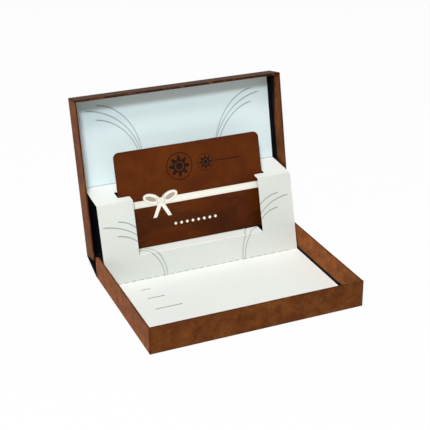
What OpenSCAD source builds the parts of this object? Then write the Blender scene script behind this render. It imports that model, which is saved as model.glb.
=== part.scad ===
// Pop-up gift card holder: a folding board case with a lined tray and lid, and a
// one-piece white insert that lifts a plastic card through its shelf as the lid opens.
// It stands open at rest. Y runs from the front wall to the spine, Z up, X across.
// The origin is the middle of the tray's underside.

/* [Tray] */
// Width of the tray over its side walls
tray_w = 117.2; // [100:0.1:150]
// Depth of the tray from the front wall to the spine crease
tray_d = 86; // [84:0.1:110]
// Height of the tray's walls above the table
wall_h = 14.8; // [14:0.1:22]
// Thickness of one ply of the case's board
board = 0.45; // [0.3:0.01:0.6]
// Length of the slanted cut at the rear end of each side wall
rear_cut_l = 6; // [2:0.1:12]
// Drop of the slanted cut at the rear end of each side wall
rear_cut_h = 2; // [0.5:0.1:4]
// Gap that the side walls leave to the spine when it is upright
rear_gap = 0.15; // [0.1:0.01:0.5]
// Length of the corner tabs tucked into the front walls
corner_tab_l = 12; // [6:0.5:20]
// Drop of a corner tab's free edge below the wall's rounded top
corner_tab_drop = 0.6; // [0.3:0.1:2]

/* [Lid] */
// Depth of the lid's walls with its board
lid_wall_h = 13.5; // [10:0.1:14]
// Clearance between a side wall of the tray and the lid's lining
lid_side_gap = 0.3; // [0.2:0.05:0.8]
// Clearance between the front wall of the tray and the lid's lining
lid_front_gap = 0.55; // [0.5:0.05:1]
// Clearance between the lid's white panel and the tray's walls when shut
shut_gap = 0.15; // [0.1:0.05:0.5]

/* [Open pose] */
// Lean of the spine behind the upright, in degrees
spine_lean = 58.8; // [50:0.1:62]
// Lean of the open lid behind the upright, in degrees
lid_lean = 11.3; // [8:0.1:14]
// Lean of the pop-up face and the card behind the upright, in degrees
face_lean = 14.6; // [12:0.1:17]

/* [Insert] */
// Thickness of the insert's white card stock
stock = 0.3; // [0.2:0.01:0.4]
// Thickness of the glue strips under the insert
glue = 0.1; // [0.05:0.01:0.2]
// Width of a glue strip
glue_w = 9; // [4:0.5:14]
// Distance of the outer glue strips' middles from the holder's middle
glue_x = 44; // [30:1:48]
// Inset of a glue strip's ends from the edge of its panel
glue_inset = 4; // [2:0.5:10]
// Gap between the insert and the lining of each side wall
insert_side_gap = 0.6; // [0.4:0.05:1.5]
// Gap between the insert's floor panel and the front lining
insert_front_gap = 0.3; // [0.2:0.05:1]
// Distance of the pop-up crease in front of the spine crease
pop_crease = 14.25; // [13:0.05:16]
// Height of the pop-up face along its own slope
face_l = 44.2; // [43:0.1:45.5]
// Distance of the shelf crease up the lid from the spine
shelf_crease = 37.7; // [36.5:0.1:38.5]
// Gap at the shelf crease, where the folding loop is opened
pivot_gap = 0.25; // [0.25:0.01:0.4]
// Length of the white lid panel below the shelf crease
panel_tuck = 0.6; // [0.3:0.1:2]
// Gap between the white lid panel's far edge and the lid's front lining
panel_end_gap = 0.4; // [0.2:0.1:2]
// Length of a cut in a perforated crease
perf_cut = 2.7; // [1.5:0.1:4]
// Distance from one cut of a perforated crease to the next
perf_pitch = 4.4; // [3:0.1:7]
// Width of a cut
perf_cut_w = 0.25; // [0.1:0.01:0.4]
// Distance of the row of cuts from its crease
perf_inset = 0.15; // [0.15:0.01:0.3]

/* [Card window] */
// Width of the window in the pop-up face
window_w = 73.8; // [60:0.1:80]
// Height of the band of card stock under the window
band_h = 13.65; // [12:0.05:15]
// Corner radius where the window turns into the shelf's slit
slit_r = 1.2; // [0.5:0.1:2]
// Side clearance of the card in the shelf's slit
slit_side_gap = 0.8; // [0.4:0.1:2]
// Distance of the slit's front edge behind the face's top crease
slit_front = 4.9; // [4.5:0.1:5]
// Distance of the slit's rear edge behind the face's top crease
slit_rear = 12.3; // [12.2:0.1:14]
// Distance of the card's face behind the pop-up face, along the ledge
ledge_d = 7.1; // [6.9:0.05:7.3]
// Height of the flap behind the card
flap_h = 15; // [8:0.5:16]
// Clearance between the card and the ledge and flap that carry it
card_gap = 0.1; // [0.05:0.01:0.2]
// Tilt of the ledge towards the pop-up face when the case is shut, in degrees
ledge_tilt = 4.5; // [4:0.1:5]

/* [Card] */
// Width of the plastic card
card_w = 85.6; // [84:0.1:86]
// Height of the plastic card
card_h = 54; // [50:0.1:54.5]
// Thickness of the plastic card
card_t = 0.76; // [0.5:0.01:0.8]
// Corner radius of the plastic card
card_r = 3.18; // [1:0.01:5]

/* [Hidden] */

leather = "#6e3a1c";
black_board = "#14141a";
white_stock = "#f2f0ea";
glue_tone = "#d8d2b8";
card_tone = "#5f2a12";

$fn = 48;
cut = 1;
// A rounded fold stops this far short of the panel that turns, and reaches into its own panel
bead_slack = 1;
bead_grip = 20;
side_wall_t = 2 * board;
front_wall_t = 3 * board;
lid_w = tray_w + 2 * (lid_side_gap + side_wall_t);
lid_l = tray_d + lid_front_gap + front_wall_t;
insert_w = tray_w - 2 * (side_wall_t + insert_side_gap);
under_insert = glue + stock;
floor_panel_l = tray_d - front_wall_t - insert_front_gap - pop_crease;
lid_panel_l = lid_l - front_wall_t - panel_end_gap - shelf_crease + panel_tuck;
slit_w = card_w + 2 * slit_side_gap;
perf_count = floor((insert_w - perf_pitch) / perf_pitch);

// Directions in the plane of the fold, as [y, z], and their left-hand normals
function toward(a) = [cos(a), sin(a)];
function left_of(a) = [-sin(a), cos(a)];
function place(p) = [0, p[0], p[1]];

spine_a = 90 - spine_lean;
lid_a = 90 - lid_lean;
face_a = 90 - face_lean;
spine_l = wall_h + shut_gap + under_insert - board;

// The creases at rest, as [y, z]: floor to spine, spine to lid, pop-up, shelf ends, window foot
floor_crease = [tray_d / 2, board];
lid_crease = floor_crease + spine_l * toward(spine_a);
pop_at = [tray_d / 2 - pop_crease, board + under_insert];
face_top = pop_at + face_l * toward(face_a) - stock * left_of(face_a);
shelf_end = lid_crease + shelf_crease * toward(lid_a)
    + (under_insert + pivot_gap) * left_of(lid_a);
shelf_run = shelf_end - face_top;
shelf_l = sqrt(shelf_run * shelf_run - stock * stock);
shelf_a = atan2(shelf_run[1], shelf_run[0]) - atan2(stock, shelf_l);
window_foot = pop_at + band_h * toward(face_a) - stock * left_of(face_a);
ledge_top = window_foot[1] + stock;
card_foot = [pop_at[0] + band_h * cos(face_a) + ledge_d,
    ledge_top + card_t * sin(face_lean) + card_gap];
flap_foot_y = card_foot[0] + (card_t + card_gap) / cos(face_lean)
    - (card_foot[1] - ledge_top) * tan(face_lean);
ledge_end_y = flap_foot_y + stock / cos(face_lean);

// Extrudes a [y, z] outline across the holder, over a width centred on it
module across(width) {
    translate([-width / 2, 0, 0]) rotate([90, 0, 90]) linear_extrude(width) children();
}

// A frame on a crease: Y runs up the panel and Z out of its inner or front face
module on_panel(crease, a) {
    translate(place(crease)) rotate([a, 0, 0]) children();
}

// A rounded fold: the part of a circle of one thickness between two directions
module bead(r, from, to) {
    intersection() {
        circle(r);
        polygon([[0, 0], 2 * r * toward(from), 3 * r * toward((from + to) / 2), 2 * r * toward(to)]);
    }
}

// Outline of a wall's outer ply with its rounded foot and rolled top, standing on [0, 0]
// with the outside at x = 0; the lining and any tab stand inside the rolled top
module outer_ply(height, plies) {
    half_t = plies * board / 2;
    straight = height - half_t;
    intersection() {
        translate([board, board]) circle(board);
        square(board);
    }
    translate([0, board]) square([board, straight - board]);
    translate([half_t, straight]) intersection() {
        difference() {
            circle(half_t);
            circle(half_t - board);
        }
        translate([-half_t, 0]) square([2 * half_t, half_t]);
    }
}

// Outline of the lining that hangs from the rolled top down to the board
module lining_ply(height, plies) {
    translate([(plies - 1) * board, board]) square([board, height - plies * board / 2 - board]);
}

// The tray and the lid are folded alike. Each is drawn in a frame where Y runs from its
// spine crease to its front wall and Z from its outer face to its rim.
module in_tray() {
    translate([0, tray_d / 2, 0]) mirror([0, 1, 0]) children();
}
module in_lid() {
    on_panel(lid_crease, lid_a) translate([0, 0, -board]) children();
}
module folded_board(w, l) {
    translate([-w / 2 + board, 0, 0]) cube([w - 2 * board, l - board, board]);
}
module front_strip(w, l) {
    translate([0, l, 0]) mirror([0, 1, 0]) across(w) children();
}
module folded_front_wall(w, l, h) {
    front_strip(w, l) outer_ply(h, 3);
}
module folded_front_lining(w, l, h) {
    front_strip(w - 2 * side_wall_t, l) lining_ply(h, 3);
}

// A strip along a side wall, ending at end_y and cut away under the front wall's rolled top
module side_strip(w, l, h, end_y) {
    difference() {
        translate([-w / 2, end_y, 0]) rotate([90, 0, 0]) linear_extrude(end_y - rear_gap) children();
        translate([-w / 2 - cut, l - front_wall_t, h - front_wall_t / 2])
            cube([side_wall_t + 2 * cut, front_wall_t + cut, front_wall_t]);
    }
}
module folded_side_wall(w, l, h) {
    side_strip(w, l, h, l - board) outer_ply(h, 2);
}
module folded_side_lining(w, l, h) {
    side_strip(w, l, h, l - 2 * board) lining_ply(h, 2);
}

// A corner tab with a slanted free end, between the two plies of a front wall
module folded_corner_tab(w, l, h) {
    height = h - board - front_wall_t / 2 - corner_tab_drop;
    slant = height / 4;
    translate([-w / 2 + board, l - board, board]) rotate([90, 0, 0]) linear_extrude(board)
        polygon([[0, 0], [corner_tab_l - slant, 0], [corner_tab_l, slant],
            [corner_tab_l, height - slant], [corner_tab_l - slant, height], [0, height]]);
}

// The slanted cut at the rear end of a side wall of the tray
module rear_cut() {
    across(2 * tray_w) polygon([[rear_gap + rear_cut_l, wall_h], [rear_gap, wall_h - rear_cut_h],
        [rear_gap - cut, wall_h - rear_cut_h], [rear_gap - cut, wall_h + cut],
        [rear_gap + rear_cut_l, wall_h + cut]]);
}

// Left-hand pieces of each half; the right-hand ones are their mirror images
module tray_side_wall() {
    in_tray() difference() {
        folded_side_wall(tray_w, tray_d, wall_h);
        rear_cut();
    }
}
module tray_side_lining() {
    in_tray() difference() {
        folded_side_lining(tray_w, tray_d, wall_h);
        rear_cut();
    }
}
module tray_corner_tab() { in_tray() folded_corner_tab(tray_w, tray_d, wall_h); }
module lid_side_wall() { in_lid() folded_side_wall(lid_w, lid_l, lid_wall_h); }
module lid_side_lining() { in_lid() folded_side_lining(lid_w, lid_l, lid_wall_h); }
module lid_corner_tab() { in_lid() folded_corner_tab(lid_w, lid_l, lid_wall_h); }

// Glue strips under a panel that starts at y = 0
module glue_strips(length) {
    for (x = [-glue_x, 0, glue_x])
        translate([x - glue_w / 2, glue_inset, 0]) cube([glue_w, length - 2 * glue_inset, glue]);
}

// The row of cuts beside a perforated crease at y = 0
module perforation() {
    for (i = [0 : perf_count - 1])
        translate([(i - (perf_count - 1) / 2) * perf_pitch - perf_cut / 2, perf_inset, -cut])
            cube([perf_cut, perf_cut_w, 2 * cut]);
}

module base_floor() { color(black_board) in_tray() folded_board(tray_w, tray_d); }
module base_front_wall() { color(leather) in_tray() folded_front_wall(tray_w, tray_d, wall_h); }
module base_front_lining() { color(leather) in_tray() folded_front_lining(tray_w, tray_d, wall_h); }
module base_left_wall() { color(leather) tray_side_wall(); }
module base_right_wall() { color(leather) mirror([1, 0, 0]) tray_side_wall(); }
module base_left_lining() { color(leather) tray_side_lining(); }
module base_right_lining() { color(leather) mirror([1, 0, 0]) tray_side_lining(); }
module base_left_corner_tab() { color(leather) tray_corner_tab(); }
module base_right_corner_tab() { color(leather) mirror([1, 0, 0]) tray_corner_tab(); }
module floor_glue_strips() {
    color(glue_tone) translate([0, pop_at[0] - floor_panel_l, board]) glue_strips(floor_panel_l);
}
module insert_floor_panel() {
    color(white_stock) translate([-insert_w / 2, pop_at[0] - floor_panel_l, board + glue])
        cube([insert_w, floor_panel_l, stock]);
}

// The spine is a little wider at the lid than at the tray
module spine_panel() {
    color(black_board) {
        on_panel(floor_crease, spine_a) translate([0, 0, -board]) linear_extrude(board)
            polygon([[-tray_w / 2, 0], [tray_w / 2, 0], [lid_w / 2, spine_l], [-lid_w / 2, spine_l]]);
        across(tray_w) translate(floor_crease) bead(board, bead_slack - 90, spine_a - 90 + bead_grip);
    }
}

module lid_panel() {
    color(black_board) {
        in_lid() folded_board(lid_w, lid_l);
        across(lid_w - 2 * board) translate(lid_crease)
            bead(board, spine_a - 90 + bead_slack, lid_a - 90 + bead_grip);
    }
}
module lid_front_wall() { color(leather) in_lid() folded_front_wall(lid_w, lid_l, lid_wall_h); }
module lid_front_lining() { color(leather) in_lid() folded_front_lining(lid_w, lid_l, lid_wall_h); }
module lid_left_wall() { color(leather) lid_side_wall(); }
module lid_right_wall() { color(leather) mirror([1, 0, 0]) lid_side_wall(); }
module lid_left_lining() { color(leather) lid_side_lining(); }
module lid_right_lining() { color(leather) mirror([1, 0, 0]) lid_side_lining(); }
module lid_left_corner_tab() { color(leather) lid_corner_tab(); }
module lid_right_corner_tab() { color(leather) mirror([1, 0, 0]) lid_corner_tab(); }
module lid_glue_strips() {
    color(glue_tone) in_lid() translate([0, shelf_crease - panel_tuck, board])
        glue_strips(lid_panel_l);
}
module insert_lid_panel() {
    color(white_stock) in_lid()
        translate([-insert_w / 2, shelf_crease - panel_tuck, board + glue])
            cube([insert_w, lid_panel_l, stock]);
}

// Outline of the pop-up face with the folded edges above and below it
module face_outline() {
    translate(pop_at) {
        rotate(face_a) translate([0, -stock]) square([face_l, stock]);
        bead(stock, bead_slack - 90, face_a - 90 + bead_grip);
    }
    translate(face_top) bead(stock, shelf_a + 90 + bead_slack, face_a + 90 + bead_grip);
}

// The pop-up face, with its window open at the top
module insert_front_panel() {
    color(white_stock) difference() {
        across(insert_w) face_outline();
        on_panel(pop_at, face_a) {
            translate([-window_w / 2, band_h, -face_l / 2]) cube([window_w, face_l, face_l]);
            perforation();
        }
    }
}

// The shelf, notched by the window and slit for the card, seen from above
module insert_shelf() {
    color(white_stock) on_panel(face_top, shelf_a) difference() {
        translate([-insert_w / 2, 0, 0]) cube([insert_w, shelf_l, stock]);
        translate([0, 0, -cut]) linear_extrude(stock + 2 * cut) slit_outline();
        translate([0, shelf_l, 0]) mirror([0, 1, 0]) perforation();
    }
}
module slit_outline() {
    translate([-slit_w / 2, slit_front]) square([slit_w, slit_rear - slit_front]);
    translate([-window_w / 2, -cut]) square([window_w, slit_front + 2 * cut]);
    for (side = [-1, 1])
        translate([side * window_w / 2, slit_front]) difference() {
            translate([-slit_r, -slit_r]) square(2 * slit_r);
            translate([side * slit_r, -slit_r]) circle(slit_r);
            translate([side * slit_r - slit_r, -2 * slit_r - cut]) square([2 * slit_r, slit_r + cut]);
        }
}

// The window's own flap, folded back as a ledge and up behind the card; its folded edge
// leaves the ledge room to tilt
module card_ledge() {
    color(white_stock) across(window_w - 2 * card_gap) translate(window_foot) {
        square([ledge_end_y - window_foot[0], stock]);
        bead(stock, 90 - bead_grip, face_a + 90 - ledge_tilt - bead_slack);
    }
}
module card_back_flap() {
    top = flap_h * cos(face_lean);
    shift = flap_h * sin(face_lean);
    color(white_stock) across(window_w - 2 * card_gap) polygon([[flap_foot_y, ledge_top],
        [ledge_end_y, ledge_top], [ledge_end_y + shift, ledge_top + top],
        [flap_foot_y + shift, ledge_top + top]]);
}
module gift_card() {
    color(card_tone) on_panel(card_foot, face_a) translate([0, 0, -card_t]) linear_extrude(card_t)
        card_outline();
}
module card_outline() {
    translate([-card_w / 2, card_r]) square([card_w, card_h - 2 * card_r]);
    translate([-card_w / 2 + card_r, 0]) square([card_w - 2 * card_r, card_h]);
    for (x = [-1, 1], y = [card_r, card_h - card_r])
        translate([x * (card_w / 2 - card_r), y]) circle(card_r);
}

base_floor();
base_front_wall();
base_front_lining();
base_left_wall();
base_left_lining();
base_right_wall();
base_right_lining();
base_left_corner_tab();
base_right_corner_tab();
floor_glue_strips();
insert_floor_panel();
spine_panel();
lid_panel();
lid_front_wall();
lid_front_lining();
lid_left_wall();
lid_left_lining();
lid_right_wall();
lid_right_lining();
lid_left_corner_tab();
lid_right_corner_tab();
lid_glue_strips();
insert_lid_panel();
insert_front_panel();
insert_shelf();
card_ledge();
card_back_flap();
gift_card();
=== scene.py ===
"""Pop-up gift card holder, dressed for its picture: leather-look case, white pop-up insert, printed card.

The file follows the case as it is folded and filled: tray, spine, lid, white insert, card. Lengths inside
the material formulas are millimetres; meshes, camera and lamps are in metres.
"""

import math

import bpy
import numpy as np
from mathutils import Matrix, Vector


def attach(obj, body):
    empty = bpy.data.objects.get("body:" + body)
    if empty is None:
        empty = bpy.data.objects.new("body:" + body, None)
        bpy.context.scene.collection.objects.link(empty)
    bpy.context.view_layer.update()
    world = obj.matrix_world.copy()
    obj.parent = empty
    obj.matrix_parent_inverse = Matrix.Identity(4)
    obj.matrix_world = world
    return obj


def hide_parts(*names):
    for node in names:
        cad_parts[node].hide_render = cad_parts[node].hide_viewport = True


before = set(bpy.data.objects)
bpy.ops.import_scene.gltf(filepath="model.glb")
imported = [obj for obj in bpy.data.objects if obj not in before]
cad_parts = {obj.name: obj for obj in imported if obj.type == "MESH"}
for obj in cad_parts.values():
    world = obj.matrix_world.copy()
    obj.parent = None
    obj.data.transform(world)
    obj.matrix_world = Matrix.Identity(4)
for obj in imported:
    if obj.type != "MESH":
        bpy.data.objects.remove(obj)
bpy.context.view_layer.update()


# ---- Camera -------------------------------------------------------------------------------------------
# It stands in front of the open case, a little to its left, and looks down on the tray. Its place, its
# turn and its focal length come from a fit to the case's corners and edges.
camera_place = (-0.195393, -0.453272, 0.272726)
camera_yaw, camera_pitch, camera_roll = 22.688, -24.767, -0.614
picture_px, focal_px, sensor_mm = 430, 1053.52, 36

lens = bpy.data.cameras.new("camera")
lens.sensor_width = sensor_mm
lens.lens = sensor_mm * focal_px / picture_px
camera = bpy.data.objects.new("camera", lens)
camera.matrix_world = (
    Matrix.Translation(camera_place)
    @ Matrix.Rotation(math.radians(-camera_yaw), 4, "Z")
    @ Matrix.Rotation(math.radians(90 + camera_pitch), 4, "X")
    @ Matrix.Rotation(math.radians(camera_roll), 4, "Z")
)
bpy.context.scene.collection.objects.link(camera)
bpy.context.scene.camera = camera
bpy.context.scene.view_settings.view_transform = "Standard"


# ---- Table --------------------------------------------------------------------------------------------
# A plain white sheet under the case. The camera and mirror rays see it nearly self-lit, so that it
# melts into the white background and keeps only a breath of the case's shadow.
class Amount:
    """A number that changes over a surface: one output of a shader node. Each operator adds a Math node."""

    def __init__(self, finish, socket):
        self.finish, self.socket = finish, socket

    def math(self, operation, *values):
        return self.finish.add("ShaderNodeMath", {"operation": operation}, dict(enumerate(values)))

    def __add__(self, other):
        return self.math("ADD", self, other)

    def __sub__(self, other):
        return self.math("SUBTRACT", self, other)

    def __rsub__(self, other):
        return self.math("SUBTRACT", other, self)

    def __mul__(self, other):
        return self.math("MULTIPLY", self, other)

    def __truediv__(self, other):
        return self.math("DIVIDE", self, other)

    def __pow__(self, other):
        return self.math("POWER", self, other)

    def __abs__(self):
        return self.math("ABSOLUTE", self)

    __radd__, __rmul__ = __add__, __mul__

    def most(self, other):
        return self.math("MAXIMUM", self, other)

    def cosine(self):
        return self.math("COSINE", self)

    def fraction(self):
        """What is left once the whole number is taken off."""
        return self.math("FRACT", self)

    def step(self, low, high):
        """0 below low, 1 above high and a smooth rise between; high below low turns it round."""
        return self.finish.add("ShaderNodeMapRange", {"interpolation_type": "SMOOTHSTEP"},
                               {"Value": self, "From Min": low, "From Max": high})


class Finish:
    """A material, or the room's own light, while it is being mixed.

    add() lays down one node and hands back one of its outputs.
    """

    def __init__(self, name, kind="materials", end="ShaderNodeOutputMaterial"):
        self.made, self.end = getattr(bpy.data, kind).new(name), end
        self.made.use_nodes = True
        self.tree = self.made.node_tree
        self.tree.nodes.clear()

    def add(self, kind, settings=None, inputs=None, output=0):
        node = self.tree.nodes.new(kind)
        for key, value in (settings or {}).items():
            setattr(node, key, value)
        for key, value in (inputs or {}).items():
            socket = node.inputs[key] if isinstance(key, int) else next(
                s for s in node.inputs if key in (s.identifier, s.name) and s.enabled)
            if isinstance(value, Amount):
                self.tree.links.new(value.socket, socket)
            else:
                socket.default_value = value
        found = node.outputs[output] if isinstance(output, int) else next(
            s for s in node.outputs if output in (s.identifier, s.name) and s.enabled)
        return Amount(self, found)

    def place(self):
        """Where a point of the piece is, in the case's own frame."""
        return self.add("ShaderNodeTexCoord", output="Object")

    def noise(self, scale, detail=4.0, rough=0.5, warp=0.0, stretch=(1, 1, 1), shift=(0, 0, 0)):
        """Cloudy noise from 0 to 1 with about scale spots to the metre."""
        at = self.add("ShaderNodeMapping", inputs={
            "Vector": self.place(), "Scale": stretch, "Location": shift})
        return self.add("ShaderNodeTexNoise", inputs={
            "Vector": at, "Scale": scale, "Detail": detail, "Roughness": rough, "Distortion": warp})

    def mix(self, below, above, share):
        """Two colours laid over each other; share 1 shows only the upper one."""
        return self.add("ShaderNodeMix", {"data_type": "RGBA"},
                        {"Factor_Float": share, "A_Color": below, "B_Color": above}, "Result_Color")

    def along(self, direction, start):
        """Millimetres from start (in millimetres) along a direction, for any point of the piece."""
        unit = Vector(direction).normalized()
        reach = self.add("ShaderNodeVectorMath", {"operation": "DOT_PRODUCT"},
                         {0: self.place(), 1: unit * 1000}, "Value")
        return reach - unit.dot(Vector(start))

    def bump(self, height, depth_mm, below=None):
        """A relief whose 0 to 1 is depth_mm deep."""
        inputs = {"Height": height, "Distance": depth_mm / 1000}
        if below:
            inputs["Normal"] = below
        return self.add("ShaderNodeBump", inputs=inputs)

    def surface(self, colour, roughness, relief, **constants):
        """The finished surface: a Principled shader on the material's output."""
        inputs = {"Base Color": colour, "Roughness": roughness, "Normal": relief}
        inputs.update({key.replace("_", " "): value for key, value in constants.items()})
        return self.show(self.add("ShaderNodeBsdfPrincipled", inputs=inputs))

    def seen(self):
        """1 for the rays that see plain white: the camera's own, and those off gloss or through glass."""
        camera_ray, glossy_ray, clear_ray = (
            self.add("ShaderNodeLightPath", output=f"Is {kind} Ray")
            for kind in ("Camera", "Glossy", "Transmission"))
        return camera_ray.most(glossy_ray).most(clear_ray)

    def show(self, shader):
        """Puts a shader on the output and hands back what was made."""
        end = self.tree.nodes.new(self.end)
        self.tree.links.new(shader.socket, end.inputs["Surface"])
        return self.made


def tone(code):
    """An sRGB colour written as six hex digits, as the linear colour that a shader takes."""
    parts = [int(code[i:i + 2], 16) / 255 for i in (0, 2, 4)]
    return tuple(c / 12.92 if c <= 0.04045 else ((c + 0.055) / 1.055) ** 2.4 for c in parts) + (1.0,)


table_size, table_drop, table_glow = 6.0, 0.0002, 0.96
table_mesh = bpy.data.meshes.new("table")
corner = table_size / 2
table_mesh.from_pydata([(-corner, -corner, -table_drop), (corner, -corner, -table_drop),
                        (corner, corner, -table_drop), (-corner, corner, -table_drop)], [], [(0, 1, 2, 3)])
table = bpy.data.objects.new("table", table_mesh)
bpy.context.scene.collection.objects.link(table)
white_table = Finish("white_table")
matt = white_table.add("ShaderNodeBsdfDiffuse", inputs={"Color": tone("f2f2f2")})
glow = white_table.add("ShaderNodeEmission", inputs={"Color": (1, 1, 1, 1), "Strength": 1.0})
table_mesh.materials.append(white_table.show(white_table.add(
    "ShaderNodeMixShader", inputs={0: white_table.seen() * table_glow, 1: matt, 2: glow})))


# ---- Light --------------------------------------------------------------------------------------------
# Three soft lamps in a white room: a neutral one above, a cool one high in front on the left that lights the
# inside of the lid, and a weak warm one low on the left, for the outer side of the walls there.
case_middle = Vector((0, 0.02, 0.03))


def soft_lamp(name, place, size, power, colour):
    """A square lamp that faces the middle of the case."""
    light = bpy.data.lights.new(name, "AREA")
    light.size, light.energy, light.color = size, power, colour
    lamp = bpy.data.objects.new(name, light)
    aim = (case_middle - Vector(place)).to_track_quat("-Z", "Y")
    lamp.matrix_world = Matrix.Translation(place) @ aim.to_matrix().to_4x4()
    bpy.context.scene.collection.objects.link(lamp)


soft_lamp("lamp_above", place=(-0.3, -0.45, 1.3), size=0.5, power=9.4, colour=(1.0, 0.98, 0.94))
soft_lamp("lamp_front", place=(-0.5, -0.9, 0.97), size=0.22, power=11.2, colour=(0.85, 0.97, 1.0))
soft_lamp("lamp_left", place=(-1.05, -0.35, 0.25), size=0.4, power=3.0, colour=(1.0, 0.91, 0.8))

room = Finish("white_room", "worlds", "ShaderNodeOutputWorld")
ambient = room.add("ShaderNodeBackground", inputs={"Color": (1.0, 0.9, 0.8, 1), "Strength": 0.09})
backdrop = room.add("ShaderNodeBackground", inputs={"Color": (1, 1, 1, 1), "Strength": 1.0})
bpy.context.scene.world = room.show(
    room.add("ShaderNodeMixShader", inputs={0: room.seen(), 1: ambient, 2: backdrop}))


# ---- Tray floor ---------------------------------------------------------------------------------------
# The board that the case stands on: thin and stiff, covered outside with brown leather-look paper and
# dyed black inside. It turns up into the walls and the spine.
board_mm = 0.45
paper_gloss = 0.05
# The last of these three colours is the brown of painted shade, not the hide's own.
hide_deep, hide_light, painted_shade_tone = tone("683413"), tone("9c5a2a"), tone("3a1c08")
crease_tone, fleck_tone = tone("4a240f"), tone("9a5c28")
# The first of these is painted shade along folds and rims, and wear on the spine's rubbed spots.
wear_and_shade_tone, rubbed_tone = tone("35170a"), tone("9a6236")
black_deep, black_light, lint_tone = tone("08080c"), tone("131217"), tone("4a4642")


def leather_print(finish, rim, dark=0.0):
    """Colour, roughness and relief of the leather-look paper.

    Three sizes of cloudy noise stand for the printed hide's mottling, and a warped cell pattern for its
    creases. rim is 1 where the paper turns over a fold and on rubbed spots: it is darkened there, along the
    folds as a painted shade line and on the spots as wear, and rubbed here and there. dark is painted shade
    laid over the print: 0 for the plain print, rising to 1.6 where it is painted deepest.
    """
    warp_reach, crease_mm, grain_mm = 0.0016, 0.022, 0.03
    painted_shade_share, crease_share, fleck_share, wear_and_shade_share, rubbed_share = 0.62, 0.25, 0.14, 0.5, 0.35
    clouds = finish.noise(62, detail=5, rough=0.62, warp=0.9)
    blotches = finish.noise(190, detail=6, rough=0.6, warp=0.4, shift=(3, 1, 2))
    flecks = finish.noise(1500, detail=3, rough=0.6)
    warp = finish.add("ShaderNodeTexNoise", output="Color", inputs={
        "Vector": finish.place(), "Scale": 380.0, "Detail": 3.0})
    bent = finish.add("ShaderNodeVectorMath", {"operation": "MULTIPLY_ADD"},
                      {0: warp, 1: (warp_reach, warp_reach, warp_reach), 2: finish.place()}, "Vector")
    crease = finish.add("ShaderNodeTexVoronoi", {"feature": "DISTANCE_TO_EDGE"},
                        {"Vector": bent, "Scale": 620.0}, "Distance").step(0.0, 0.22)
    mottle = (clouds * 0.45 + blotches * 0.55).step(0.34, 0.68)
    colour = finish.mix(hide_deep, hide_light, mottle)
    # Painted shade: the print darkened by dark where the walls stand in less light.
    colour = finish.mix(colour, painted_shade_tone, dark * painted_shade_share)
    colour = finish.mix(colour, crease_tone, (1 - crease) * crease_share)
    colour = finish.mix(colour, fleck_tone, flecks.step(0.58, 0.75) * fleck_share)
    rubbed = rim * finish.noise(260, detail=5, rough=0.7).step(0.5, 0.7)
    # Painted shade along folds and rims, a dark line where they turn; on the spine's rubbed spots the same is
    # wear.
    colour = finish.mix(colour, wear_and_shade_tone, rim * wear_and_shade_share)
    colour = finish.mix(colour, rubbed_tone, rubbed * rubbed_share)
    roughness = 0.5 + 0.14 * blotches + 0.1 * rubbed
    relief = finish.bump(crease, crease_mm)
    relief = finish.bump(flecks * 0.4 + blotches * 0.6, grain_mm, relief)
    return colour, roughness, relief


def black_side(finish):
    """Colour of the board's black inner side, with a few lint flecks."""
    lint = finish.noise(900, detail=2, rough=0.5).step(0.66, 0.74)
    black = finish.mix(black_deep, black_light, finish.noise(120, detail=4))
    return finish.mix(black, lint_tone, lint * 0.35)


def board_finish(name, out, edges):
    """Leather-look paper outside and black inside. out(finish) is the depth from the outer face, and
    edges(finish) is 1 on the board's folds."""
    finish = Finish(name)
    colour, roughness, relief = leather_print(finish, edges(finish))
    inside = out(finish).step(board_mm * 0.35, board_mm * 0.65)
    colour = finish.mix(colour, black_side(finish), inside)
    return finish.surface(colour, roughness + inside * 0.15, relief, Specular_IOR_Level=paper_gloss)


def dress(material, *nodes):
    """Puts a material on CAD nodes in place of their plain one."""
    for name in nodes:
        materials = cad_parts[name].data.materials
        materials.clear()
        materials.append(material)


tray_width, tray_depth, tray_height = 117.2, 86.0, 14.8
fold_reach, foot_reach = 0.9, 0.7


def from_middle(finish):
    """How far a point is from the case's middle plane, to the left or the right."""
    return abs(finish.along((1, 0, 0), (0, 0, 0)))


def folds_where(side, front, level):
    """1 on the upright folds where a side wall meets the front wall, and along the foot of both."""
    return (side * front).most(side.most(front) * level.step(foot_reach, 0.1))


def tray_height_of(finish):
    """Millimetres above the table, which is also the depth from the floor's outer face."""
    return finish.along((0, 0, 1), (0, 0, 0))


def tray_folds(finish):
    """1 on the tray's upright folds and along the foot of its walls."""
    side = from_middle(finish).step(tray_width / 2 - fold_reach, tray_width / 2)
    front = finish.along((0, -1, 0), (0, 0, 0)).step(tray_depth / 2 - fold_reach, tray_depth / 2)
    return folds_where(side, front, tray_height_of(finish))


dress(board_finish("tray_board", tray_height_of, tray_folds), "base_floor")


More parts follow.
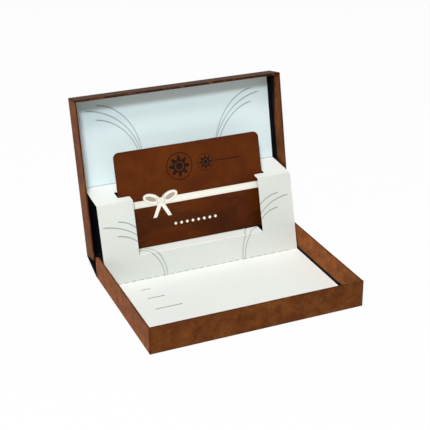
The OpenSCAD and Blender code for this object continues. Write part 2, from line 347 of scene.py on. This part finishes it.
# ---- Tray walls ---------------------------------------------------------------------------------------
# Each wall is the same sheet turned up, rolled over its top and folded back down inside, so that the
# leather print is on both faces. The side walls end in tabs tucked into the front wall.
def rolled_profile(height, plies):
    """The sheet's outer and inner path in a wall's cross-section, as points (depth, height) in millimetres.

    The outer path rises from the rounded foot at depth 0, goes over a half circle of radius
    plies * board / 2 and comes down at depth plies * board. The inner path runs one ply inside it, a hair
    short of the next ply.
    """
    ply = board_mm * 0.96
    thick = plies * board_mm
    round_top = thick / 2
    foot = np.linspace(math.pi * 1.5, math.pi, 7)
    rise = np.linspace(board_mm, height - round_top, 9)[1:-1]
    over = np.linspace(math.pi, 0, 17)
    fall = rise[::-1]
    ends = np.array([[thick, board_mm]])

    def path(inset):
        """The path that runs inset millimetres inside the outer face."""
        radius = max(round_top - inset, 0.01)
        foot_arc = np.stack([board_mm + (board_mm - inset) * np.cos(foot),
                             board_mm + (board_mm - inset) * np.sin(foot)], 1)
        up = np.stack([np.full_like(rise, inset), rise], 1)
        top = np.stack([round_top + radius * np.cos(over), height - round_top + radius * np.sin(over)], 1)
        down = np.stack([np.full_like(fall, thick - inset), fall], 1)
        return np.concatenate([foot_arc, up, top, down, ends - (inset, 0)])

    return path(0.0), path(ply)


def wall_mesh(name, height, plies, start, end, round_ends, frame_of):
    """A rolled wall: the profile carried along the wall from start(height) to end(depth, height).

    At each station t, from 0 to 1, the sheet waves a little inwards, by sin(pi t) sin(pi h / height) and a
    shorter wave, and its rim dips by less than a tenth of a millimetre. With round_ends the outer path
    closes on the inner one over a quarter circle at both ends, as a folded corner does. frame_of turns
    (depth, height, along) into the case's frame.
    """
    wave_mm, ripple_mm, dip_mm, corner_close = 0.10, 0.05, 0.07, 0.94
    outer, inner = rolled_profile(height, plies)
    ring = np.concatenate([outer, inner[::-1]])
    t = np.concatenate([[0, 0.0006, 0.002, 0.004], np.linspace(0.008, 0.992, 45),
                        [0.996, 0.998, 0.9994, 1]])
    depth, level = ring[:, 0][:, None], ring[:, 1][:, None]
    first, last = start(depth, level), end(depth, level)
    reach = first + (last - first) * t
    wave = wave_mm * np.sin(np.pi * t) + ripple_mm * np.sin(3 * np.pi * t + plies) ** 2 * np.sin(np.pi * t)
    bend = wave * np.sin(np.pi * np.clip(level / height, 0, 1))
    dip = dip_mm * np.sin(2.3 * np.pi * t + 0.6 * plies) ** 2 * np.sin(np.pi * t) * (level / height) ** 8
    deep = depth + bend
    if round_ends:
        near = np.minimum(reach - first, last - reach)
        short = np.clip(board_mm - near, 0, board_mm)
        tuck = (board_mm - np.sqrt(np.maximum(board_mm ** 2 - short ** 2, 0))) * corner_close
        is_outer = (np.arange(len(ring)) < len(outer) / 2)[:, None]
        deep = deep + np.where(is_outer & (depth < board_mm * 0.5), tuck, 0)
    points = np.moveaxis(np.array(frame_of(deep, level - dip, reach)), 0, -1).reshape(-1, 3)
    rows, stations = len(ring), len(t)
    index = np.arange(rows * stations).reshape(rows, stations)
    following = np.roll(index, -1, axis=0)
    skin = np.stack([index[:, :-1], index[:, 1:], following[:, 1:], following[:, :-1]], -1).reshape(-1, 4)
    out_rows, in_rows = np.arange(len(outer)), np.arange(rows - 1, len(outer) - 1, -1)

    def cap(station):
        """The faces that close the sheet at one end of the wall."""
        edge = index[:, station]
        return np.stack([edge[out_rows[:-1]], edge[out_rows[1:]], edge[in_rows[1:]], edge[in_rows[:-1]]], -1)

    return solid(name, points, np.concatenate([skin, cap(0), cap(-1)[:, ::-1]]))


def solid(name, points, faces):
    """A mesh object from points in millimetres and four-sided faces, which are turned to point outwards, so
    that the volume they enclose is positive. Only bends under smooth_under degrees are shaded smooth."""
    smooth_under = 40
    faces = np.asarray(faces)
    a, b, c, d = (points[faces[:, k]] for k in range(4))
    volume = (np.einsum("ij,ij->i", a, np.cross(b, c)) + np.einsum("ij,ij->i", a, np.cross(c, d))).sum()
    mesh = bpy.data.meshes.new(name)
    mesh.from_pydata((points / 1000).tolist(), [], (faces if volume > 0 else faces[:, ::-1]).tolist())
    mesh.validate()
    mesh.polygons.foreach_set("use_smooth", np.ones(len(mesh.polygons), bool))
    mesh.set_sharp_from_angle(angle=math.radians(smooth_under))
    piece = bpy.data.objects.new(name, mesh)
    bpy.context.scene.collection.objects.link(piece)
    return piece


def fit(piece, body, slot, material, *nodes):
    """Puts a finished piece on its body in place of CAD nodes."""
    piece.data.materials.append(material)
    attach(piece, body)
    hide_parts(*nodes)


def front_wall_ends(width):
    """A front wall runs from one side of the case to the other."""
    return lambda depth, level: 0 * depth, lambda depth, level: width + 0 * depth


def side_wall_ends(length, height, cut_run, cut_drop):
    """Where a side wall starts and ends along the wall: a slanted cut at the spine, and at the front a step
    under the rolled top of the front wall, with the lining one ply shorter than the outer ply."""
    rear_gap, front_gap = 0.15, 0.02

    def start(depth, level):
        share = np.clip((level - height + cut_drop) / cut_drop, 0, 1)
        return rear_gap + share * cut_run + 0 * depth

    def end(depth, level):
        lining = depth > board_mm
        return np.where(level > height - 1.5 * board_mm, length - 3 * board_mm - front_gap,
                        length - np.where(lining, 2, 1) * board_mm)

    return start, end


def wall_finish(name, folds, height_of, height, width, far_of, bare_foot, dark, front_painted_shade, front_deep):
    """The leather-look paper on the walls of tray or lid.

    It takes a painted shade line along the folds and the rims. Painted shade darkens it, by dark on the side
    walls and by the amount given for the front on the outer front_deep millimetres of the front wall, which
    far_of measures from. The folded-back edge stops bare_foot short of the board and the black side shows;
    towards the front the black reaches further up, as painted shade near the front wall.
    """
    finish = Finish(name)
    rim_share, shade_reach_more, soft = 1.3, 0.8, 0.3
    level = height_of(finish)
    rim = level.step(height - 0.5, height - 0.25) * rim_share
    front = far_of(finish)
    # Painted shade: darker by dark on the side walls, and more on the front wall's outer face.
    darker = dark + (front_painted_shade - dark) * front.step(front_deep + soft, front_deep - soft)
    colour, roughness, relief = leather_print(finish, folds(finish).most(rim), darker)
    # Towards the front the black reaches further up the wall: painted shade near the front wall.
    bare_and_shade_reach = bare_foot * (1 + shade_reach_more * front.step(30, 4))
    inside = from_middle(finish).step(width / 2 - 0.5, width / 2 - 0.6) * front.step(0.7, 0.8)
    colour = finish.mix(colour, black_side(finish), inside * (level - bare_and_shade_reach).step(0.1, -0.1))
    return finish.surface(colour, roughness, relief, Specular_IOR_Level=paper_gloss)


# Painted shade darkens the outer face of the tray's front wall.
tray_paper = wall_finish(
    "tray_paper", tray_folds, tray_height_of, tray_height, tray_width,
    lambda finish: finish.along((0, 1, 0), (0, -tray_depth / 2, 0)),
    bare_foot=2.2, dark=0.0, front_painted_shade=0.8, front_deep=0.6)
front_wall = wall_mesh(
    "tray_front_wall", tray_height, 3, *front_wall_ends(tray_width), True,
    lambda depth, level, reach: (reach - tray_width / 2, depth - tray_depth / 2, level + 0 * reach))
fit(front_wall, "tray", "leather_look_board", tray_paper, "base_front_wall", "base_front_lining")
tray_ends = side_wall_ends(tray_depth, tray_height, cut_run=6.0, cut_drop=2.0)
for side, sign in (("left", -1), ("right", 1)):
    side_wall = wall_mesh(
        f"tray_{side}_wall", tray_height, 2, *tray_ends, False,
        lambda depth, level, reach: (
            sign * (tray_width / 2 - depth), tray_depth / 2 - reach, level + 0 * reach))
    fit(side_wall, "tray", "leather_look_board", tray_paper, f"base_{side}_wall", f"base_{side}_lining")
dress(tray_paper, "base_left_corner_tab", "base_right_corner_tab")


# ---- Spine --------------------------------------------------------------------------------------------
# The narrow panel between the tray and the lid: the same board, scored along both edges so that it folds
# there. Open, it leans back and carries the lid. Shut, it stands upright as the case's rear wall.
spine_crease, spine_slope = (43.0, 0.45), 31.2
lid_crease, lid_slope = (55.745, 8.169), 78.7


def out_of(crease, slope, back):
    """Depth from the outer face of a sloping panel, whose inner face passes through its crease."""
    turn = math.radians(slope)
    normal = (0, -math.sin(turn), math.cos(turn))
    return lambda finish: finish.along(normal, (0, *crease)) + back


def stray_rubs(finish):
    """The spine has no fold across it, only a few rubbed spots."""
    return finish.noise(300, detail=2).step(0.8, 0.9)


dress(board_finish("spine_board", out_of(spine_crease, spine_slope, board_mm), stray_rubs), "spine_panel")


# ---- Lid ----------------------------------------------------------------------------------------------
# The rest of the same board: a panel with three walls, folded like the tray's but a little larger all
# round. It stands open behind the tray, and shut it fits over the tray's walls.
lid_width, lid_length, lid_height = 119.6, 87.9, 13.5
lid_turn = math.radians(lid_slope)
lid_out = out_of(lid_crease, lid_slope, board_mm)


def lid_folds(finish):
    """The same on the lid, where the depth from its outer face takes the place of the height."""
    side = from_middle(finish).step(lid_width / 2 - fold_reach, lid_width / 2)
    up = finish.along((0, math.cos(lid_turn), math.sin(lid_turn)), (0, *lid_crease))
    return folds_where(side, up.step(lid_length - fold_reach, lid_length), lid_out(finish))


dress(board_finish("lid_board", lid_out, lid_folds), "lid_panel")
lid_far_end = (0, lid_crease[0] + lid_length * math.cos(lid_turn),
               lid_crease[1] + lid_length * math.sin(lid_turn))
# Painted shade darkens all the lid's walls, and the outer face of its front wall most.
lid_paper = wall_finish(
    "lid_paper", lid_folds, lid_out, lid_height, lid_width,
    lambda finish: finish.along((0, -math.cos(lid_turn), -math.sin(lid_turn)), lid_far_end),
    bare_foot=4.0, dark=0.6, front_painted_shade=1.6, front_deep=1.4)


def in_lid(x, up, out):
    """From the lid's own frame, up from its crease and out from its outer face, to the case's frame."""
    deep = out - board_mm
    return (x, lid_crease[0] + up * math.cos(lid_turn) - deep * math.sin(lid_turn),
            lid_crease[1] + up * math.sin(lid_turn) + deep * math.cos(lid_turn))


far_wall = wall_mesh(
    "lid_front_wall_rolled", lid_height, 3, *front_wall_ends(lid_width), True,
    lambda depth, level, reach: in_lid(reach - lid_width / 2, lid_length - depth, level + 0 * reach))
fit(far_wall, "lid", "leather_look_board", lid_paper, "lid_front_wall", "lid_front_lining")
lid_ends = side_wall_ends(lid_length, lid_height, cut_run=0.0, cut_drop=1.0)
for side, sign in (("left", -1), ("right", 1)):
    side_wall = wall_mesh(
        f"lid_{side}_wall_rolled", lid_height, 2, *lid_ends, False,
        lambda depth, level, reach: in_lid(sign * (lid_width / 2 - depth), reach, level + 0 * reach))
    fit(side_wall, "lid", "leather_look_board", lid_paper, f"lid_{side}_wall", f"lid_{side}_lining")
dress(lid_paper, "lid_left_corner_tab", "lid_right_corner_tab")


# ---- Glue ---------------------------------------------------------------------------------------------
# Dried cold glue, in three flat strips under the insert's floor panel and three behind its lid panel.
# Nothing else holds the insert in the case.
glue_deep, glue_light, ripple_mm = tone("cfc7a4"), tone("e4dfc9"), 0.05
glue = Finish("dry_glue")
ripple = glue.noise(500, detail=4, rough=0.6)
dress(glue.surface(glue.mix(glue_deep, glue_light, ripple), 0.35 + 0.2 * ripple,
                   glue.bump(ripple, ripple_mm)), "floor_glue_strips", "lid_glue_strips")


# ---- White insert -------------------------------------------------------------------------------------
# One blank of white card stock, creased and perforated: a floor panel glued in the tray, a standing face
# with a window, a shelf with a slit, and a panel glued in the lid. Thin grey flourishes are printed on it.
stock_light, fibre_mm = tone("fafaf8"), 0.012
ink_tone, line_width, line_weight, line_fade = tone("4d5a60"), 0.62, 0.73, 0.45


def flourish(across, up, foot, tip):
    """A printed line on a quarter of an ellipse: upright and pale at its foot, level and darker towards its
    tip, where it runs out.

    With u and v the distances from the ellipse's centre over its half-axes a and b, and
    r = sqrt(u^2 + v^2), the distance to the line is (r - 1) r / sqrt((u/a)^2 + (v/b)^2).
    """
    half_x, half_y = foot[0] - tip[0], tip[1] - foot[1]
    u = (across - tip[0]) / half_x
    v = (up - foot[1]) / half_y
    square = u * u + v * v
    r = square ** 0.5
    slope = ((u / half_x) * (u / half_x) + (v / half_y) * (v / half_y)) ** 0.5
    gap = abs((r - 1) * r / slope)
    line = gap.step(line_width * 0.75, line_width * 0.25)
    return line * u.step(0.05, 0.14) * v.step(-0.03, 0.0) * (line_weight * (1 - line_fade * u))


def strip(value, low, high, soft=0.1):
    """1 between two bounds, with an edge that is soft millimetres to either side of them."""
    return value.step(low - soft, low + soft) * value.step(high + soft, high - soft)


def white_stock(name, slope, foot, draw, white="f2f2ee"):
    """Smooth card stock of the colour white, plain white on most panels; on the lid panel it is tinted blue
    as painted cool light, and on the face panel greyed as painted shade. draw(across, up) is what is printed
    on it in grey, on the side of the sheet that foot lies on; slope is the sheet's angle, and up is measured
    along it from foot."""
    finish = Finish(name)
    turn = math.radians(slope)
    across = finish.along((1, 0, 0), (0, 0, 0))
    up = finish.along((0, math.cos(turn), math.sin(turn)), (0, *foot))
    fibres = finish.noise(1400, detail=5, rough=0.65, stretch=(1, 0.45, 0.45))
    cast = finish.noise(35, detail=3)
    colour = finish.mix(tone(white), stock_light, (fibres + cast) * 0.25)
    if draw:
        printed_side = finish.along((0, -math.sin(turn), math.cos(turn)), (0, *foot)).step(-0.2, -0.1)
        colour = finish.mix(colour, ink_tone, draw(across, up) * printed_side)
    relief = finish.bump(fibres, fibre_mm)
    return finish.surface(colour, 0.52 + 0.12 * fibres, relief, Specular_IOR_Level=0.3)


def together(lines):
    """The darkest of several printed lines at each point."""
    total = lines[0]
    for line in lines[1:]:
        total = total.most(line)
    return total


def floor_print(across, up):
    """Three short ruled lines near the left edge, as on a gift tag."""
    rule_left, soft = -41.5, 0.2
    run = across - rule_left
    rules = [run.step(0, soft) * (run - length).step(soft, 0) * abs(up - at).step(0.36, 0.26)
             for at, length in ((18, 5.0), (8, 9.5), (-4, 15.0))]
    return together(rules) * 0.85


def lid_print(across, up):
    """Three curves on either side, and a painted shade line along the fold where the shelf meets the panel.
    """
    fold_low, fold_high, panel_half = 37.6, 38.05, 57.4
    curves = [((-21.6, 50.0), (-47.6, 82.1)), ((-22.0, 47.3), (-54.4, 79.6)), ((-22.3, 43.4), (-48.4, 74.0)),
              ((20.7, 39.5), (49.4, 79.9)), ((20.2, 38.1), (54.4, 77.3)), ((20.1, 30.5), (48.5, 72.1))]
    on_panel = abs(across).step(panel_half, panel_half - 0.2)
    # Painted shade: a grey line in the crease where the shelf meets the panel.
    shelf_fold_shade = strip(up, fold_low, fold_high, soft=0.12) * on_panel * 0.5
    return together([shelf_fold_shade] + [flourish(across, up, *curve) for curve in curves])


def face_print(across, up):
    """Three curves on either side of the window, and two below it that go on over the ledge."""
    band_top = 13.65
    curves = [((-30.6, 13.1), (-48.1, 34.1)), ((-30.2, 11.7), (-57.5, 32.2)), ((-32.9, 12.4), (-49.1, 26.2)),
              ((29.9, 13.7), (50.4, 34.6)), ((32.9, 13.9), (56.2, 32.4)), ((34.0, 13.1), (48.8, 26.2))]
    beside = together([flourish(across, up, *curve) for curve in curves])
    curves = [((-23.9, 0), (-37.5, 16.6)), ((-22.2, 0), (-31.0, 15.8)),
              ((23.1, 0), (35.1, 20.0)), ((24.5, 0), (42.5, 20.0))]
    below = together([flourish(across, up, *curve) for curve in curves])
    return (beside * up.step(band_top - 0.05, band_top + 0.05)).most(
        below * up.step(band_top + 0.05, band_top - 0.05))


def ledge_print(across, up):
    """The tips of the curves below the window."""
    curves = [((-29.4, -2.0), (-37.4, 5.6)), ((-26.2, -2.5), (-32.5, 5.8)),
              ((26.1, -2.0), (35.6, 9.5)), ((29.0, -2.0), (45.0, 8.0))]
    return together([flourish(across, up, *curve) for curve in curves])


face_foot, face_slope, ledge_foot = (28.75, 0.85), 75.4, (32.48, 14.33)
dress(white_stock("floor_stock", 0, (0, 0), floor_print), "insert_floor_panel")
# The lid panel's stock is tinted blue, a painted cool light, and the face panel's is greyed, painted shade.
dress(white_stock("lid_stock_painted_cool_light", lid_slope, lid_crease, lid_print, white="e2f2f6"), "insert_lid_panel")
dress(white_stock("face_stock_painted_shade", face_slope, face_foot, face_print, white="cfd1cb"), "insert_front_panel")
dress(white_stock("ledge_stock", 0, ledge_foot, ledge_print), "card_ledge")
dress(white_stock("plain_stock", 0, (0, 0), None), "insert_shelf", "card_back_flap")


# ---- Gift card ----------------------------------------------------------------------------------------
# A standard plastic card, printed and laminated: brown hide with a cream ribbon tied in a bow, two dark
# rosettes and a row of dots. It stands on the ledge, through the slit in the shelf.
card_foot, card_width, card_height, card_thick, card_round = (39.291, 14.575), 85.6, 54.0, 0.76, 3.18
card_turn = math.radians(face_slope)


def oval(across, up, middle, half_axes, tilt=0.0, soft=0.12):
    """1 inside an ellipse of the given half-axes, turned by tilt degrees, and 0 outside."""
    c, s = math.cos(math.radians(tilt)), math.sin(math.radians(tilt))
    x, y = across - middle[0], up - middle[1]
    u, v = (x * c + y * s) / half_axes[0], (y * c - x * s) / half_axes[1]
    edge = soft / min(half_axes)
    return ((u * u + v * v) ** 0.5).step(1 + edge, 1 - edge)


def ribbon_print(across, up, knot):
    """A horizontal ribbon with a bow on it: two loops, a knot and two tails. Gives cover and shade."""
    half, hem_low, hem_high = 1.9, 1.2, 1.35
    loop_middle, loop_axes, within_axes, loop_tilt = (5.1, 1.9), (5.2, 2.9), (4.9, 2.6), 22
    x, y = across - knot[0], up - knot[1]
    side = abs(x)
    band = strip(y, -half, half)
    hems = strip(y, -hem_high, -hem_low, soft=0.08).most(strip(y, hem_low, hem_high, soft=0.08))
    loops = oval(side, y, loop_middle, loop_axes, loop_tilt)
    within = oval(side, y, loop_middle, within_axes, loop_tilt)
    hollow = oval(side, y, (5.6, 2.1), (3.2, 1.25), loop_tilt)
    knob = oval(side, y, (0, 0.2), (1.75, 1.9))
    tails = strip(side * 0.86 + y * 0.42, -9, 1.1) * strip(side + y * 0.55, -1.4, 1.5)
    tails = tails * strip(y, -8.6, -0.6)
    cover = band.most(loops).most(tails).most(knob)
    shade = (hems * 0.35 * (1 - loops)).most(hollow * 0.7)
    shade = shade.most(loops * (1 - hollow) * strip(side, 1.6, 2.4, soft=0.5) * 0.35)
    return cover, shade.most(loops * within.step(1, 0) * 0.3)


def rosette(across, up, middle, reach):
    """A dark rosette: petals where the distance from its middle over reach is under 0.75 + 0.2 cos 8 angle,
    with a ring round them and one left clear inside."""
    x, y = across - middle[0], up - middle[1]
    radius = (x * x + y * y) ** 0.5
    angle = y.math("ARCTAN2", y, x)
    petals = (radius / reach - (angle * 8).cosine() * 0.2).step(0.78, 0.72)
    ring = strip(radius, reach * 1.12, reach * 1.2, soft=0.08)
    return (petals * (1 - strip(radius, reach * 0.32, reach * 0.42))).most(ring)


def dot_row(across, up, pitch, reach, middle_up):
    """A row of small four-cornered dots, pitch apart, out to reach on either side of the middle."""
    off_middle = abs((across / pitch).fraction() - 0.5) * pitch
    dots = (off_middle + abs(up - middle_up)).step(1.05, 0.9)
    return dots * strip(up, middle_up - 1, middle_up + 1) * strip(across, -reach, reach, soft=0.05)


def past_outline(across, up):
    """Millimetres past the card's rounded outline, negative inside it: how far a point is from the corner
    circles' middles, less their radius."""
    x = (abs(across) - (card_width / 2 - card_round)).most(0)
    y = (abs(up - card_height / 2) - (card_height / 2 - card_round)).most(0)
    return (x * x + y * y) ** 0.5 - card_round


def card_finish():
    """Laminated print: mottled brown, darker towards the foot, with dark ornament and a cream ribbon on the
    front, and on the back a dark stripe and a pale writing strip, as such cards have."""
    finish = Finish("card_print")
    ground_deep, ground_light, stroke_tone = tone("4e2004"), tone("602c07"), tone("220d04")
    dark_ink, cream, cream_shade = tone("120a08"), tone("f4efe4"), tone("8a6a4c")
    stripe_black, strip_white, edge_brown = tone("100e0e"), tone("e4dfd2"), tone("2c1408")
    rosette_up, bow_at = 41.5, (-19.0, 24.0)
    across = finish.along((1, 0, 0), (0, 0, 0))
    up = finish.along((0, math.cos(card_turn), math.sin(card_turn)), (0, *card_foot))
    back = finish.along((0, math.sin(card_turn), -math.cos(card_turn)), (0, *card_foot))
    clouds = finish.noise(45, detail=5, rough=0.6, warp=0.7, shift=(1, 5, 2))
    strokes = finish.noise(70, detail=6, rough=0.7, warp=1.2, stretch=(0.3, 1, 1), shift=(4, 0, 7))
    ground = finish.mix(ground_deep, ground_light, clouds.step(0.3, 0.7))
    darker = (0.35 + 0.65 * strokes.step(0.44, 0.58)) * up.step(34, 18)
    ground = finish.mix(ground, stroke_tone, darker * 0.52)
    ornament = rosette(across, up, (-6, rosette_up), 6.4).most(rosette(across, up, (9.5, rosette_up), 4.1))
    ornament = ornament.most(strip(up, 41.2, 41.7, soft=0.08) * strip(across, 15, 31))
    front = finish.mix(ground, dark_ink, ornament * 0.92)
    cover, shade = ribbon_print(across, up, bow_at)
    satin = finish.mix(cream, cream_shade, shade)
    front = finish.mix(front, satin, cover.most(
        dot_row(across, up, pitch=3.4, reach=13.7, middle_up=10.3)))
    rear = finish.mix(ground, stripe_black, strip(up, 38, 50.5))
    rear = finish.mix(rear, strip_white, strip(up, 26, 33) * strip(across, -34, 20))
    colour = finish.mix(front, rear, back.step(card_thick * 0.45, card_thick * 0.55))
    past = past_outline(across, up)
    edge = (past.step(-0.12, -0.02) * 0.8).most(past.step(-0.9, -0.3) * 0.35)
    colour = finish.mix(colour, edge_brown, edge)
    scuffs = finish.noise(700, detail=4, rough=0.7, stretch=(0.25, 1, 1)).step(0.6, 0.8)
    return finish.surface(colour, 0.28 + 0.12 * clouds + 0.15 * scuffs, finish.bump(clouds, 0.008),
                          Specular_IOR_Level=0.09)


def card_mesh():
    """A rounded rectangle carried through the thickness. The outline's corners are quarter circles of radius
    card_round. At the rim the outline shrinks by bevel (1 - sin t) at a depth of bevel (1 - cos t), and each
    face is filled by rings that shrink towards its middle, with the last one closed by rows of quads."""
    bevel, inner_rings = 0.14, 5
    quarter = np.linspace(0, math.pi / 2, 13)
    corners = [(card_width / 2 - card_round, card_height - card_round, 0),
               (card_round - card_width / 2, card_height - card_round, 1),
               (card_round - card_width / 2, card_round, 2), (card_width / 2 - card_round, card_round, 3)]
    turn = np.concatenate([quarter + k * math.pi / 2 for _, _, k in corners])
    middle = np.concatenate([np.tile((x, y), (len(quarter), 1)) for x, y, _ in corners])
    away = np.stack([np.cos(turn), np.sin(turn)], 1)
    bend = np.linspace(0, math.pi / 2, 6)
    inset = np.concatenate([bevel * (1 - np.sin(bend)), bevel * (1 - np.sin(bend[::-1]))])
    depth = np.concatenate([bevel * (1 - np.cos(bend)), card_thick - bevel * (1 - np.cos(bend[::-1]))])
    rings = middle[None] + away[None] * (card_round - inset)[:, None, None]
    levels = np.repeat(depth[:, None], len(turn), 1)
    core = np.array([0, card_height / 2])
    inner = core + (rings[0] - core) * np.linspace(0.25, 0.97, inner_rings)[:, None, None]
    rings = np.concatenate([inner, rings, inner[::-1]])
    front, rear = np.zeros((inner_rings, len(turn))), np.full((inner_rings, len(turn)), card_thick)
    levels = np.concatenate([front, levels, rear])
    c, s = math.cos(card_turn), math.sin(card_turn)
    x, y = rings[..., 0], rings[..., 1]
    points = np.stack([x, card_foot[0] + y * c + levels * s, card_foot[1] + y * s - levels * c], -1)
    rows, around = levels.shape
    index = np.arange(rows * around).reshape(rows, around)
    following = np.roll(index, -1, axis=1)
    skin = np.stack([index[:-1], following[:-1], following[1:], index[1:]], -1).reshape(-1, 4)
    half = around // 2
    fans = []
    for ring in (index[0], index[-1][::-1]):
        left, right = ring[:half], ring[half:][::-1]
        fans.append(np.stack([left[:-1], right[:-1], right[1:], left[1:]], -1))
    return solid("printed_gift_card", points.reshape(-1, 3), np.concatenate([skin, *fans]))


fit(card_mesh(), "card", "printed_card", card_finish(), "gift_card")
